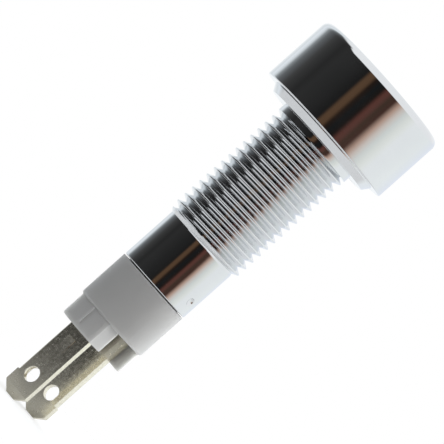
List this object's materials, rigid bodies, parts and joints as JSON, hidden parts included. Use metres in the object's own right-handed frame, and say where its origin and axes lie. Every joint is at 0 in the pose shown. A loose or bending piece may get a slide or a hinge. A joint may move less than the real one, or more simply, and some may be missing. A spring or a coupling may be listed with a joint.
{
  "type": "panel pilot light",
  "caption": "Chromed panel pilot light: round head on a flanged, fine-threaded shank, white insulator and two flat push-on tabs.",
  "frame": {"origin": "centre of the panel seat, the flat rear face of the flange", "axes": "+Z along the axis out of the panel towards the front of the head; the two tabs face along +Y and -Y"},
  "size_m": [0.0136, 0.0134, 0.0396],
  "materials": {
    "chrome_plate": "bright chrome on turned brass",
    "lens_clear": "clear polished window",
    "seal_rubber": "matt black rubber",
    "reflector_aluminium": "bright reflector",
    "holder_nylon": "natural nylon",
    "led_epoxy": "tinted epoxy",
    "tinned_wire": "tinned wire",
    "sleeve_plastic": "thin insulating tube",
    "resistor_enamel": "coated body",
    "diode_glass": "glass body with a dark band",
    "solder_metal": "bright solder",
    "insulator_nylon": "off-white moulded nylon",
    "terminal_plate": "nickel-plated brass sheet"
  },
  "bodies": {
    "root": {"bezel_head": "chrome_plate", "threaded_body": "chrome_plate", "front_lens": "lens_clear", "lens_seal": "seal_rubber", "light_reflector": "reflector_aluminium", "led_holder": "holder_nylon", "led_lamp": "led_epoxy", "led_anode_lead": "tinned_wire", "led_cathode_lead": "tinned_wire", "insulating_sleeve": "sleeve_plastic", "series_resistor": "resistor_enamel", "resistor_front_wire": "tinned_wire", "resistor_rear_wire": "tinned_wire", "protection_diode": "diode_glass", "diode_front_wire": "tinned_wire", "diode_rear_wire": "tinned_wire", "anode_solder": "solder_metal", "cathode_solder": "solder_metal", "positive_solder": "solder_metal", "negative_solder": "solder_metal", "rear_insulator": "insulator_nylon", "positive_terminal": "terminal_plate", "negative_terminal": "terminal_plate"}
  },
  "joints": []
}
